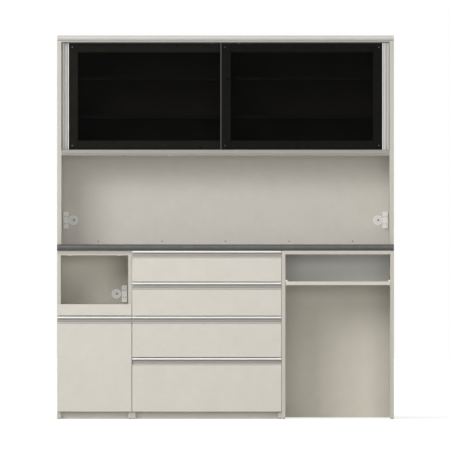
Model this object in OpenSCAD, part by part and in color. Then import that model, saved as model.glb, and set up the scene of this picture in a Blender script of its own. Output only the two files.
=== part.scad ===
// Kitchen cupboard: three base units under one countertop, an open counter,
// and an upper closet with two sliding doors. Millimetres, +Z up, front towards -Y.
// The origin is on the floor, in the middle of the width and the depth.

/* [Overall] */
// Width of the whole cupboard
total_w = 1800; // [1700:10:2000]
// Depth of the base units, over the countertop
base_d = 500; // [470:5:600]
// Height from the floor to the underside of the countertop
base_h = 899; // [880:1:950]
// Height of the upper unit, from the countertop to its top
upper_h = 1117; // [1050:1:1250]
// Depth of the upper unit
upper_d = 430; // [400:5:460]
// Height of the closet, with its floor and the top panel
closet_h = 641; // [580:1:760]

/* [Columns] */
// Width of the left base unit
left_w = 400; // [360:10:450]
// Width of the middle base unit
middle_w = 800; // [700:10:900]

/* [Boards] */
// Thickness of the base units' boards
base_t = 20; // [16:1:24]
// Thickness of the upper side panels
upper_side_t = 23; // [18:1:28]
// Thickness of the top panel
top_t = 27; // [22:1:34]
// Rounding of the top panel's front edge
top_nose_r = 12; // [3:1:14]
// Thickness of the closet's floor, divider and shelves
closet_t = 18; // [15:1:22]
// Thickness of the back panels
back_t = 5; // [3:0.5:8]
// Thickness of the rails behind the back panels, which leave room for cables
rail_t = 18; // [15:1:25]
// Small chamfer along the edges of the boards
ease = 1; // [0.4:0.1:1.5]

/* [Countertop] */
// Thickness of the countertop
counter_t = 33; // [25:1:40]
// Rounding of its upper front edge
counter_nose_r = 11; // [4:1:16]
// Rounding of its lower front edge
counter_low_r = 14; // [1:0.5:16]
// How far the drawer faces lie behind its front edge
face_setback = 2; // [1:0.5:20]

/* [Sliding doors] */
// Thickness of a door
door_t = 22; // [20:1:26]
// Overlap of the two doors at the centre
door_overlap = 55; // [40:1:80]
// Width of the dark frame that shows round the glass
door_border = 49; // [40:1:70]
// Width of the full-height finger pull
pull_w = 38; // [34:1:48]
// Width of the metal trim on a door's inner edge
trim_w = 6; // [4:0.5:10]
// Thickness of the glass
glass_t = 4; // [3:0.5:6]
// Height of the bottom track
low_track_h = 12; // [11:0.5:16]
// Height of the top track
high_track_h = 13; // [12:0.5:18]
// Wall of the tracks
track_wall = 2; // [1.5:0.1:3]
// Radius of a door roller
roller_r = 8; // [7:0.5:9]
// Radius of a roller's axle
axle_r = 2; // [1.5:0.1:2.5]

/* [Closet shelves] */
// Height of the lower shelves above the closet's floor
shelf_low_rise = 180; // [140:2:200]
// Height of the upper shelves above the closet's floor
shelf_high_rise = 386; // [300:2:420]
// Radius of a shelf pin
pin_r = 2.5; // [2:0.1:3.5]
// Distance between the heights that a shelf can be set at
pin_pitch = 32; // [25:1:40]

/* [Open counter] */
// Height of the sockets and cord holes above the countertop
outlet_rise = 130; // [100:2:180]
// Distance of the counter's cord holes from the side panels
cord_hole_inset = 60; // [50:1:90]
// Distance between the back panel's screws
screw_pitch = 341; // [280:1:380]
// Height of the back panel's screws above the countertop
screw_rise = 17; // [12:1:30]

/* [Outlets] */
// Width of a socket
socket_w = 28; // [22:1:34]
// Height of a socket
socket_h = 90; // [80:1:120]
// How far a socket stands out of its panel
socket_proud = 12; // [5:0.5:14]
// Outer radius of a cord grommet
grommet_r = 25; // [22:0.5:30]

/* [Niche and tray] */
// Thickness of the left unit's top
niche_top_t = 25; // [18:1:28]
// Height of the tray's front
tray_front_h = 61; // [50:1:70]
// Gap between the tray's front and the drawer under it
tray_gap = 5; // [4:0.5:12]
// Height of the niche's socket and cord hole above the tray
niche_outlet_rise = 54; // [48:1:120]
// Distance of the niche's socket from the side panel
niche_socket_inset = 9; // [2:1:40]
// Distance of the niche's cord hole from the side panel
niche_cord_inset = 66; // [64:1:110]

/* [Drawers] */
// Height of the first drawer's front; the four fronts fill their column in these proportions
drawer_1_h = 165; // [140:1:180]
// Height of the second drawer's front
drawer_2_h = 178; // [150:1:200]
// Height of the third drawer's front
drawer_3_h = 217; // [180:1:240]
// Height of the fourth drawer's front
drawer_4_h = 287; // [250:1:320]
// Thickness of the drawer fronts
front_t = 20; // [18:1:24]
// Gap between one front and the next above it
front_gap = 4; // [2:0.5:6]
// Gap between the fronts and the sides of their column
front_side_gap = 1.5; // [1:0.5:3]
// Length of the drawer boxes
box_l = 430; // [400:5:440]
// Thickness of the drawer boxes' walls
box_t = 12; // [10:1:16]
// Thickness of the drawer boxes' bottoms
box_bottom_t = 6; // [4:0.5:9]
// Height of the deep drawer's box
deep_box_h = 330; // [200:5:400]

/* [Handles] */
// Height of a drawer's handle profile
handle_h = 42; // [38:1:50]
// Height of the lip at its top
lip_h = 9; // [6:0.5:12]
// Wall of the handle profile
handle_wall = 1.8; // [1.2:0.1:2.5]

/* [Runners] */
// Length of a runner
runner_l = 420; // [390:5:430]
// Height of a runner
runner_h = 35; // [30:1:45]
// Sheet of a runner's members
runner_wall = 1.2; // [1:0.1:1.5]
// Space that a runner takes beside its drawer
runner_space = 13; // [12.5:0.1:16]

/* [Plinth] */
// Height of the plinth
plinth_h = 40; // [30:1:60]
// How far the plinth lies behind the carcass's front
plinth_setback = 40; // [20:1:60]
// Height of the floor glides
glide_h = 3; // [2:0.5:6]
// Radius of the floor glides
glide_r = 8; // [6:0.5:8]

/* [Right unit] */
// Height of the shelf's top above the floor
bay_shelf_z = 735; // [600:1:780]

/* [Hidden] */
$fn = 48;

// Hairline between pieces that are fastened together
joint_gap = 0.1;
// Extra length of every cut
overrun = 1;
// Clearance of a loose fit, and of a turning fit
loose_gap = 0.3;
turn_gap = 0.06;

// Planes of the whole cupboard
half_w = total_w / 2;
front_y = -base_d / 2;
back_y = base_d / 2;
panel_y = back_y - rail_t - back_t;
counter_z = base_h + counter_t;
top_z = counter_z + upper_h;
top_under_z = top_z - top_t;
closet_z = top_z - closet_h;
closet_floor_z = closet_z + closet_t;
upper_y = back_y - upper_d;
inner_x = half_w - upper_side_t;

// Planes of the base units
face_y = front_y + face_setback;
buffer_gap = 2;
carcass_y = face_y + front_t + buffer_gap;
left_edge = -half_w;
left_split = left_edge + left_w;
right_split = left_split + middle_w;
left_mid_x = (left_edge + left_split) / 2;
middle_mid_x = (left_split + right_split) / 2;
left_half = left_w / 2 - base_t;
middle_half = middle_w / 2 - base_t;
niche_right_x = left_split - base_t;

// Heights of the fronts, from the countertop down, and what follows them
front_top_gap = 1;
front_low_lap = 1;
front_low_z = plinth_h - front_low_lap;
drawer_1_top = base_h - front_top_gap;
front_stack_h = drawer_1_top - front_low_z - 3 * front_gap;
front_share = front_stack_h / (drawer_1_h + drawer_2_h + drawer_3_h + drawer_4_h);
drawer_heights = [drawer_1_h, drawer_2_h, drawer_3_h, drawer_4_h] * front_share;
drawer_2_top = drawer_1_top - drawer_heights[0] - front_gap;
drawer_3_top = drawer_2_top - drawer_heights[1] - front_gap;
drawer_4_top = drawer_3_top - drawer_heights[2] - front_gap;
drawer_tops = [drawer_1_top, drawer_2_top, drawer_3_top, drawer_4_top];
deep_front_h = drawer_3_top - front_low_z;
deep_box_rise = deep_box_h * front_share;
bay_shelf_top = bay_shelf_z * front_share;
tray_front_z = drawer_3_top + tray_gap;
tray_top_z = tray_front_z + tray_front_h;
tray_under_z = tray_top_z - closet_t;

// Tracks and doors
track_setback = 2;
channel_gap = 2;
channel_w = door_t + 2 * channel_gap;
door_pitch = channel_w + track_wall;
track_d = 2 * channel_w + 3 * track_wall;
track_y = upper_y + track_setback;
rib_w = 3;
rib_h = 3;
rib_z = closet_floor_z + track_wall + rib_h;
low_opening_z = closet_floor_z + low_track_h;
high_opening_z = top_under_z - high_track_h;
door_clearance = 1;
door_z = rib_z + door_clearance;
door_head_gap = 4;
door_head_z = top_under_z - track_wall - door_head_gap;
door_h = door_head_z - door_z;
door_end_gap = 1;
door_out_x = inner_x - door_end_gap;
door_in_x = -door_overlap / 2;
frame_in_x = door_in_x + trim_w;
frame_out_x = door_out_x - pull_w;
pane_in_x = frame_in_x + door_border;
pane_out_x = frame_out_x - door_border;
pane_low_z = low_opening_z + door_border;
pane_high_z = high_opening_z - door_border;
pane_lap = 8;
pane_y = 8;
roller_w = 5;
roller_inset = 90;
roller_z = rib_z + loose_gap + roller_r;
door_roller_x = [pane_in_x + roller_inset, pane_out_x - roller_inset];
roller_slot_gap = 1;
door_screw_side = 18.5;
door_screw_end = 22.5;
screw_head_r = 3.5;
screw_head_h = 2;
screw_shank_r = 1.8;
screw_l = 16;
screw_drive_r = 1.6;
screw_drive_d = 1.2;
closet_gap = 4;
closet_in_y = track_y + track_d + closet_gap;

// Finger pull of a door, measured from its outer edge
pull_lip = 10;
pull_slot_w = 11;
pull_slot_d = 14;
pull_ridge = 6;
flute_w = 5;
flute_d = 2.5;
pull_wall = 2;
pull_edge_r = 1.5;

// Shelf pins
pin_depth = 9;
pin_inset = 40;
divider_pin_depth = 4;
shelf_end_gap = 1;
shelf_setback = 10;
pin_steps = [-1, 0, 1];
shelf_rises = [shelf_low_rise, shelf_high_rise];
divider_half = closet_t / 2;

// Rails behind the back panels
hang_rail_h = 80;
low_rail_h = 50;
wall_hole_r = 3;
wall_hole_x = 400;
wall_hole_z = top_under_z - hang_rail_h / 2;
screw_count = 5;

// Outlets
outlet_z = counter_z + outlet_rise;
niche_outlet_z = tray_top_z + niche_outlet_rise;
socket_wall_gap = 6;
socket_x = inner_x - socket_wall_gap - socket_w / 2;
cord_x = inner_x - cord_hole_inset;
niche_socket_x = niche_right_x - niche_socket_inset - socket_w / 2;
niche_cord_x = niche_right_x - niche_cord_inset;
socket_box_w = 16;
socket_box_h = 60;
socket_box_d = 14;
socket_edge = 1.5;
slot_pitch = 12.7;
slot_w = 2.2;
slot_h = 8;
slot_d = 6;
twin_pitch = 38;
flange_t = 2;
sleeve_gap = 2.5;
sleeve_r = grommet_r - sleeve_gap;
sleeve_wall = 1.7;
sleeve_l = 12;
ledge_w = 2;
cap_t = 3;
cap_r = sleeve_r - sleeve_wall - turn_gap;
cap_back_y = panel_y - joint_gap - flange_t + loose_gap + cap_t;
cap_hole_r = 4.5;
cap_hole_shift = 3;
swirl_r = 12;
swirl_shift = 1.2;
swirl_d = 0.6;

// Drawer boxes and runners
box_y = face_y + front_t + joint_gap;
box_lift = 22;
box_headroom = 65;
bottom_rise = 8;
groove_d = 5;
runner_setback = 2;
runner_y = carcass_y + runner_setback;
runner_rise = 30;
race_gap = 0.3;
member_depth = 9.5;
mid_member_h = runner_h - 2 * (runner_wall + race_gap);
inner_member_h = mid_member_h - 2 * (runner_wall + race_gap);
drawer_member_depth = runner_space - 2 * joint_gap - 2 * (runner_wall + race_gap);

// Handle profile
cove_r = front_t - handle_wall;
tongue_w = 3;
tongue_h = 8;
tongue_gap = 0.2;

// Tray
tray_side_gap = 3;
tray_end_gap = 12;
tray_side_t = 12;
tray_side_h = 45;
tray_board_drop = 4;
fixed_board_z = tray_front_z - tray_board_drop;
tray_runner_z = tray_under_z - tray_side_h / 2;

// Plinth, rails and shelf of the base units
top_rail_d = 80;
glide_inset = 40;
bay_pin_inset = 50;
clip_w = 12;
clip_h = 7;
clip_l = 14;
catch_w = 12;
catch_h = 3;
catch_l = 20;
catch_share = 0.17;
cover_r = 5;
cover_h = 2;
cover_inset = 300;
tab_w = 8;
tab_h = 6;
tab_t = 1.2;
tab_x = 71;

// Colours
cream = [0.84, 0.82, 0.78];
slate = [0.29, 0.30, 0.32];
metal = [0.82, 0.83, 0.85];
steel = [0.62, 0.64, 0.66];
black = [0.08, 0.08, 0.08];
white = [0.93, 0.93, 0.92];
birch = [0.80, 0.72, 0.58];

// Shapes that repeat

// A rectangle with its corners cut off at 45 degrees
module eased_rect(w, h, e)
  polygon([[e, 0], [w - e, 0], [w, e], [w, h - e], [w - e, h], [e, h], [0, h - e], [0, e]]);

// A block between two corners
module block(low, high)
  translate(low) cube(high - low);

// A board between two corners, with every edge eased
module board(low, high) {
  size = high - low;
  translate(low) intersection() {
    linear_extrude(size.z) eased_rect(size.x, size.y, ease);
    translate([0, size.y, 0]) rotate([90, 0, 0]) linear_extrude(size.y) eased_rect(size.x, size.z, ease);
    rotate([90, 0, 90]) linear_extrude(size.x) eased_rect(size.y, size.z, ease);
  }
}

// A profile drawn as depth and height, extruded from one x to another
module along_x(from, to)
  translate([from, 0, 0]) rotate([90, 0, 90]) linear_extrude(to - from) children();

// A cylinder along Y, from one y to another
module rod_y(x, z, from, to, r)
  translate([x, from, z]) rotate([-90, 0, 0]) cylinder(r = r, h = to - from);

// A cylinder along X, from one x to another
module rod_x(y, z, from, to, r)
  translate([from, y, z]) rotate([0, 90, 0]) cylinder(r = r, h = to - from);

// The children, and their mirror image across x = 0
module both_sides() {
  children();
  mirror([1, 0, 0]) children();
}

// The children on the right, or mirrored to the left
module on_side(side) {
  if (side > 0) children();
  else mirror([1, 0, 0]) children();
}

// What a rounded corner takes off a square one
module corner_cut(r) difference() {
  translate([-overrun, -overrun]) square(r + overrun);
  translate([r, r]) circle(r);
}

// A slab's profile with a rounded front edge, each rounding within half of its thickness
module nosed_profile(d, t, upper_r, lower_r) difference() {
  square([d, t]);
  corner_cut(min(lower_r, t / 2));
  translate([0, t]) mirror([0, 1]) corner_cut(min(upper_r, t / 2));
}

// Countertop and upper unit

module countertop() color(slate)
  translate([0, front_y, base_h + joint_gap]) along_x(-half_w, half_w)
    nosed_profile(base_d, counter_t - joint_gap, counter_nose_r, counter_low_r);

// The holes for shelf pins along both edges of the closet's shelves
module closet_pin_holes(from, to)
  for (rise = shelf_rises, step = pin_steps, y = [closet_in_y + pin_inset, panel_y - pin_inset])
    rod_x(y, closet_floor_z + rise - pin_r + step * pin_pitch, from, to, pin_r + joint_gap);

module upper_sides() color(cream) both_sides() difference() {
  board([inner_x, upper_y, counter_z + joint_gap], [half_w, back_y, top_under_z - joint_gap]);
  closet_pin_holes(inner_x - overrun, inner_x + pin_depth + joint_gap);
}

module upper_top_panel() color(cream)
  translate([0, upper_y, top_under_z]) along_x(-half_w, half_w)
    nosed_profile(upper_d, top_t, top_nose_r, top_nose_r);

module upper_bottom_panel() color(cream)
  board([-inner_x + joint_gap, upper_y, closet_z],
    [inner_x - joint_gap, panel_y - joint_gap, closet_floor_z]);

module upper_back_panel() color(cream) difference() {
  block([-inner_x + joint_gap, panel_y, counter_z + joint_gap],
    [inner_x - joint_gap, panel_y + back_t, top_under_z - joint_gap]);
  both_sides() {
    socket_hole(socket_x, outlet_z);
    cord_hole(cord_x, outlet_z);
    rod_y(wall_hole_x, wall_hole_z, panel_y - overrun, back_y, wall_hole_r);
  }
  for (i = [0 : screw_count - 1])
    rod_y(screw_x(i), counter_z + screw_rise, panel_y - overrun, back_y, screw_shank_r + joint_gap);
}

module upper_divider() color(cream) difference() {
  board([-divider_half, closet_in_y, closet_floor_z + joint_gap],
    [divider_half, panel_y - joint_gap, top_under_z - joint_gap]);
  both_sides() closet_pin_holes(divider_half - divider_pin_depth - joint_gap, divider_half + overrun);
}

module upper_shelves() color(cream) both_sides() for (rise = shelf_rises)
  board([divider_half + shelf_end_gap, closet_in_y + shelf_setback, closet_floor_z + rise],
    [inner_x - shelf_end_gap, panel_y - shelf_end_gap, closet_floor_z + rise + closet_t]);

// One shelf pin along X, sunk into the wall at wall_x on the side away from its shelf
module shelf_pin(wall_x, y, z, sunk, towards) {
  ends = [wall_x - towards * sunk, wall_x + towards * pin_depth];
  rod_x(y, z, min(ends), max(ends), pin_r);
}

module shelf_supports() color(white) {
  both_sides() for (rise = shelf_rises, y = [closet_in_y + pin_inset, panel_y - pin_inset]) {
    z = closet_floor_z + rise - pin_r;
    shelf_pin(inner_x, y, z - joint_gap, pin_depth, -1);
    shelf_pin(divider_half, y, z - joint_gap, divider_pin_depth, 1);
  }
  for (y = [face_y + bay_pin_inset, panel_y - bay_pin_inset]) {
    z = bay_shelf_top - base_t - pin_r - joint_gap;
    shelf_pin(half_w - base_t, y, z, pin_depth, -1);
    shelf_pin(right_split + base_t, y, z, pin_depth, 1);
  }
  // Clips that hold the bay's shelf down at its front corners
  for (x = [right_split + base_t + joint_gap, half_w - base_t - joint_gap - clip_w])
    board([x, face_y + shelf_end_gap, bay_shelf_top + joint_gap],
      [x + clip_w, face_y + shelf_end_gap + clip_l, bay_shelf_top + joint_gap + clip_h]);
  // Catches under the niche's top
  for (side = [-1, 1]) translate([left_mid_x + side * left_w * (1 / 2 - catch_share), 0, 0])
    board([-catch_w / 2, carcass_y + ease, base_h - niche_top_t - joint_gap - catch_h],
      [catch_w / 2, carcass_y + ease + catch_l, base_h - niche_top_t - joint_gap]);
  // Covers over the divider's fastenings, under the closet's floor
  both_sides() translate([cover_inset, upper_y + pin_inset, closet_z - joint_gap - cover_h])
    cylinder(r = cover_r, h = cover_h);
}

// A track's profile: a base, three flanges and a rib in each channel
module track_profile(h, rib) {
  square([track_d, track_wall]);
  for (i = [0 : 2]) translate([i * door_pitch, 0]) square([track_wall, h]);
  for (i = [0 : 1]) translate([track_wall + channel_w / 2 - rib_w / 2 + i * door_pitch, 0])
    square([rib_w, track_wall + rib]);
}

module door_track_bottom() color(metal)
  translate([0, track_y, closet_floor_z + joint_gap]) along_x(-inner_x + joint_gap, inner_x - joint_gap)
    track_profile(low_track_h - joint_gap, rib_h - joint_gap);

module door_track_top() color(metal) {
  translate([0, track_y, top_under_z - joint_gap]) along_x(-inner_x + joint_gap, inner_x - joint_gap)
    mirror([0, 1]) track_profile(high_track_h - joint_gap, 0);
  // Small stops on the front flange
  both_sides() block([tab_x - tab_w / 2, track_y - joint_gap - tab_t, high_opening_z - tab_h / 2],
    [tab_x + tab_w / 2, track_y - joint_gap, high_opening_z + tab_h / 2]);
}

// Outlets

module socket_hole(x, z)
  translate([x, 0, z]) block(
    [-socket_box_w / 2 - loose_gap, panel_y - overrun, -socket_box_h / 2 - loose_gap],
    [socket_box_w / 2 + loose_gap, back_y, socket_box_h / 2 + loose_gap]);

module cord_hole(x, z) rod_y(x, z, panel_y - overrun, back_y, sleeve_r + joint_gap);

// One socket of two outlets, its face proud of the panel and its box behind
module socket(x, z) translate([x, panel_y, z]) difference() {
  union() {
    translate([0, -joint_gap, 0]) rotate([90, 0, 0]) linear_extrude(socket_proud)
      translate([-socket_w / 2, -socket_h / 2]) eased_rect(socket_w, socket_h, socket_edge);
    block([-socket_box_w / 2, -2 * joint_gap, -socket_box_h / 2],
      [socket_box_w / 2, socket_box_d, socket_box_h / 2]);
  }
  for (up = [-1, 1], over = [-1, 1])
    translate([over * slot_pitch / 2, -joint_gap - socket_proud, up * twin_pitch / 2])
      block([-slot_w / 2, -overrun, -slot_h / 2], [slot_w / 2, slot_d, slot_h / 2]);
}

module socket_outlets() color(white) {
  both_sides() socket(socket_x, outlet_z);
  socket(niche_socket_x, niche_outlet_z);
}

// The ring and sleeve that line a cord hole, with a ledge for the cap
module grommet_ring(x, z) difference() {
  union() {
    rod_y(x, z, panel_y - joint_gap - flange_t, panel_y - joint_gap, grommet_r);
    rod_y(x, z, panel_y - joint_gap - flange_t, panel_y - joint_gap - flange_t + sleeve_l, sleeve_r);
  }
  rod_y(x, z, panel_y - flange_t - overrun, cap_back_y + loose_gap, cap_r + turn_gap);
  rod_y(x, z, panel_y - flange_t - overrun, back_y, cap_r - ledge_w);
}

module cord_grommets() color(white) {
  both_sides() grommet_ring(cord_x, outlet_z);
  grommet_ring(niche_cord_x, niche_outlet_z);
}

// The cap that turns in its ring, with a cord hole off its centre and a swirl
module grommet_cap(x, z) color(white) translate([x, 0, z]) difference() {
  rod_y(0, 0, cap_back_y - cap_t, cap_back_y, cap_r);
  rod_y(cap_hole_shift, 0, cap_back_y - cap_t - overrun, cap_back_y + overrun, cap_hole_r);
  difference() {
    rod_y(0, swirl_shift, cap_back_y - cap_t - overrun, cap_back_y - cap_t + swirl_d, swirl_r);
    rod_y(0, -swirl_shift, cap_back_y - cap_t - overrun, cap_back_y, swirl_r);
  }
}

// Rails behind the upper back panel

module back_rails() color(birch) difference() {
  for (z = [counter_z + joint_gap, closet_z, top_under_z - joint_gap - hang_rail_h])
    block([-inner_x + joint_gap, panel_y + back_t + joint_gap, z],
      [inner_x - joint_gap, back_y, z + (z > closet_z ? hang_rail_h : low_rail_h)]);
  both_sides() rod_y(wall_hole_x, wall_hole_z, panel_y, back_y + overrun, wall_hole_r);
  for (i = [0 : screw_count - 1])
    rod_y(screw_x(i), counter_z + screw_rise, panel_y, back_y + overrun, screw_shank_r + joint_gap);
}

function screw_x(i) = (i - (screw_count - 1) / 2) * screw_pitch;

// A screw along Y with its head at the front and a six-sided drive
module screw_y(x, z, seat_y, head_h, l) difference() {
  union() {
    rod_y(x, z, seat_y - head_h, seat_y, screw_head_r);
    rod_y(x, z, seat_y - joint_gap, seat_y + l, screw_shank_r);
  }
  translate([x, seat_y - head_h - overrun, z]) rotate([-90, 0, 0])
    cylinder(r = screw_drive_r, h = overrun + screw_drive_d, $fn = 6);
}

module panel_screws() color(metal) for (i = [0 : screw_count - 1])
  screw_y(screw_x(i), counter_z + screw_rise, panel_y - joint_gap, screw_head_h, screw_l);

// Base units

// The two side panels of a base unit between two planes
module unit_sides(low_x, high_x, y) for (x = [low_x + joint_gap, high_x - base_t])
  board([x, y, glide_h + joint_gap], [x + base_t - joint_gap, back_y, base_h]);

// A board that spans between the two side panels
module span(low_x, high_x, y0, y1, z0, z1)
  board([low_x + base_t + joint_gap, y0, z0], [high_x - base_t - joint_gap, y1, z1]);

module left_unit_carcass() color(cream) {
  unit_sides(left_edge, left_split, carcass_y);
  span(left_edge, left_split, carcass_y, panel_y - joint_gap, base_h - niche_top_t, base_h);
  span(left_edge, left_split, carcass_y, panel_y - joint_gap, fixed_board_z - closet_t, fixed_board_z);
  span(left_edge, left_split, carcass_y, panel_y - joint_gap, plinth_h, plinth_h + base_t);
}

module middle_unit_carcass() color(cream) {
  unit_sides(left_split, right_split, carcass_y);
  span(left_split, right_split, carcass_y, panel_y - joint_gap, plinth_h, plinth_h + base_t);
  span(left_split, right_split, carcass_y, carcass_y + top_rail_d, base_h - base_t, base_h);
  span(left_split, right_split, panel_y - joint_gap - top_rail_d, panel_y - joint_gap,
    base_h - base_t, base_h);
}

module right_unit_carcass() color(cream) {
  difference() {
    unit_sides(right_split, half_w, face_y);
    for (step = pin_steps, y = [face_y + bay_pin_inset, panel_y - bay_pin_inset])
      rod_x(y, bay_shelf_top - base_t - pin_r - joint_gap + step * pin_pitch,
        right_split + base_t - pin_depth - joint_gap, half_w - base_t + pin_depth + joint_gap,
        pin_r + joint_gap);
  }
  span(right_split, half_w, face_y, panel_y - joint_gap, base_h - base_t, base_h);
}

module right_unit_shelf() color(cream)
  board([right_split + base_t + shelf_end_gap, face_y + shelf_end_gap, bay_shelf_top - base_t],
    [half_w - base_t - shelf_end_gap, panel_y - shelf_end_gap, bay_shelf_top]);

// A back panel between the side panels of a base unit
module unit_back(low_x, high_x, low_z)
  block([low_x + base_t + joint_gap, panel_y, low_z],
    [high_x - base_t - joint_gap, panel_y + back_t, base_h]);

module lower_back_panels() color(cream) {
  difference() {
    unit_back(left_edge, left_split, plinth_h);
    socket_hole(niche_socket_x, niche_outlet_z);
    cord_hole(niche_cord_x, niche_outlet_z);
  }
  unit_back(left_split, right_split, plinth_h);
  unit_back(right_split, half_w, glide_h);
}

module plinths() color(cream) for (x = [left_edge, left_split]) {
  w = x == left_edge ? left_w : middle_w;
  y = carcass_y + plinth_setback;
  span(x, x + w, y, y + base_t, joint_gap, plinth_h - joint_gap);
}

module floor_glides() color(steel)
  for (x = [left_edge, left_split, right_split])
    for (edge = [x + base_t / 2, x + column_w(x) - base_t / 2])
      for (y = [carcass_y + glide_inset, back_y - glide_inset])
        translate([edge, y, 0]) cylinder(r = glide_r, h = glide_h);

function column_w(x) = x == left_edge ? left_w : x == left_split ? middle_w : half_w - right_split;

// Runners

// A channel along Y, its web towards -x, or towards +x if it is turned
module channel(x, depth, h, turned) {
  inside_x = turned ? x - overrun : x + runner_wall;
  translate([0, runner_y, 0]) difference() {
    block([x, 0, -h / 2], [x + depth, runner_l, h / 2]);
    block([inside_x, -overrun, runner_wall - h / 2],
      [inside_x + depth - runner_wall + overrun, runner_l + overrun, h / 2 - runner_wall]);
  }
}

// A left and a right member at a height, in a column of a given inner half width
module runner_pair(mid_x, half, z) translate([mid_x, 0, z]) both_sides()
  translate([half, 0, 0]) mirror([1, 0, 0]) children();

module cabinet_member() channel(joint_gap, member_depth, runner_h, false);

module mid_member() channel(joint_gap + runner_wall + race_gap, member_depth, mid_member_h, false);

module drawer_member()
  channel(joint_gap + 2 * (runner_wall + race_gap), drawer_member_depth, inner_member_h, true);

function runner_z(front_z) = front_z + box_lift + runner_rise;

module cabinet_runners() color(steel) {
  for (z = drawer_tops - drawer_heights)
    runner_pair(middle_mid_x, middle_half, runner_z(z)) cabinet_member();
  runner_pair(left_mid_x, left_half, runner_z(front_low_z)) cabinet_member();
  runner_pair(left_mid_x, left_half, tray_runner_z) cabinet_member();
}

// Sliding doors, drawn on the right and mirrored to the left

function door_y(side) = track_y + track_wall + channel_gap + (side < 0 ? door_pitch : 0);

module at_door(side) on_side(side) translate([0, door_y(side), 0]) children();

module pane(gap)
  block([pane_in_x - pane_lap - gap, pane_y - gap, pane_low_z - pane_lap - gap],
    [pane_out_x + pane_lap + gap, pane_y + glass_t + gap, pane_high_z + pane_lap + gap]);

module door_glass(side) color(black, 0.6) at_door(side) pane(0);

// Stiles and rails, with a groove for the glass and holes for the fittings
module door_frame(side) color(black) at_door(side) difference() {
  union() {
    for (x = [[frame_in_x, pane_in_x], [pane_out_x, frame_out_x]])
      board([x[0] + joint_gap, 0, door_z], [x[1] - joint_gap, door_t, door_head_z]);
    for (z = [[door_z, pane_low_z], [pane_high_z, door_head_z]])
      board([pane_in_x + joint_gap, 0, z[0]], [pane_out_x - joint_gap, door_t, z[1]]);
  }
  pane(joint_gap);
  for (x = door_roller_x) {
    translate([x, door_t / 2, 0]) block(
      [-roller_r - roller_slot_gap, -roller_w / 2 - roller_slot_gap, door_z - overrun],
      [roller_r + roller_slot_gap, roller_w / 2 + roller_slot_gap, roller_z + roller_r + roller_slot_gap]);
    rod_y(x, roller_z, track_wall - joint_gap, door_t - track_wall + joint_gap, axle_r + joint_gap);
  }
  door_screw_places() {
    rod_y(0, 0, -overrun, screw_head_h, screw_head_r + joint_gap);
    rod_y(0, 0, 0, screw_head_h + screw_l + joint_gap, screw_shank_r + joint_gap);
  }
}

module door_screw_places()
  for (x = [frame_in_x + door_screw_side, frame_out_x - door_screw_side],
    z = [low_opening_z + door_screw_end, high_opening_z - door_screw_end])
    translate([x, 0, z]) children();

// The finger pull's section: an outer lip, a web behind the slot for the fingers,
// and a hollow grip with a flute
module pull_profile() {
  grip_w = pull_w - joint_gap - pull_lip - pull_slot_w;
  difference() {
    square([pull_lip, door_t]);
    corner_cut(pull_edge_r);
  }
  translate([pull_lip + joint_gap, pull_slot_d]) square([pull_slot_w - 2 * joint_gap, door_t - pull_slot_d]);
  translate([pull_lip + pull_slot_w, 0]) difference() {
    square([grip_w, door_t]);
    translate([pull_ridge + flute_w / 2, 0]) circle(flute_w / 2);
    translate([pull_wall, 2 * pull_wall + flute_d])
      square([grip_w - 2 * pull_wall, door_t - 3 * pull_wall - flute_d]);
  }
}

module door_pull(side) color(metal) at_door(side)
  translate([door_out_x, 0, door_z]) mirror([1, 0, 0]) linear_extrude(door_h) pull_profile();

// Edge trim, corner screws and roller axles
module door_fittings(side) color(steel) at_door(side) {
  block([door_in_x, 0, door_z], [frame_in_x, door_t, door_head_z]);
  door_screw_places() screw_y(0, 0, screw_head_h, screw_head_h - joint_gap, screw_l);
  for (x = door_roller_x) rod_y(x, roller_z, track_wall, door_t - track_wall, axle_r);
}

module door_roller(side, i) color(white) at_door(side) difference() {
  rod_y(door_roller_x[i], roller_z, (door_t - roller_w) / 2, (door_t + roller_w) / 2, roller_r);
  rod_y(door_roller_x[i], roller_z, 0, door_t, axle_r + turn_gap);
}

// Drawers

// A handle's section, its lip at the front and a cove for the fingers below it
module handle_profile() {
  translate([0, handle_h - handle_wall]) square([front_t, handle_wall]);
  translate([0, handle_h - lip_h]) square([handle_wall, lip_h]);
  translate([front_t - handle_wall, 0]) square([handle_wall, handle_h]);
  square([front_t, handle_wall]);
  translate([(front_t - tongue_w) / 2, -tongue_h]) square([tongue_w, tongue_h + handle_wall]);
  difference() {
    square([front_t, cove_r + handle_wall]);
    translate([0, cove_r + handle_wall]) circle(cove_r);
    translate([front_t - handle_wall, 2 * handle_wall]) mirror([1, 0]) cove_hollow();
  }
}

// The space behind the cove, which keeps its wall even
module cove_hollow() difference() {
  square([cove_r, cove_r]);
  translate([cove_r, cove_r - handle_wall]) circle(cove_r + handle_wall);
}

module drawer_handle(low_x, high_x, top)
  color(metal) translate([0, face_y, top - handle_h]) along_x(low_x + front_side_gap, high_x - front_side_gap)
    handle_profile();

// A front's board, grooved along its top for the handle's tongue
module drawer_front(low_x, high_x, top, h) color(cream) difference() {
  board([low_x + front_side_gap, face_y, top - h],
    [high_x - front_side_gap, face_y + front_t, top - handle_h - joint_gap]);
  block([low_x, face_y + (front_t - tongue_w) / 2 - tongue_gap, top - handle_h - tongue_h - tongue_gap],
    [high_x, face_y + (front_t + tongue_w) / 2 + tongue_gap, top]);
}

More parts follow.
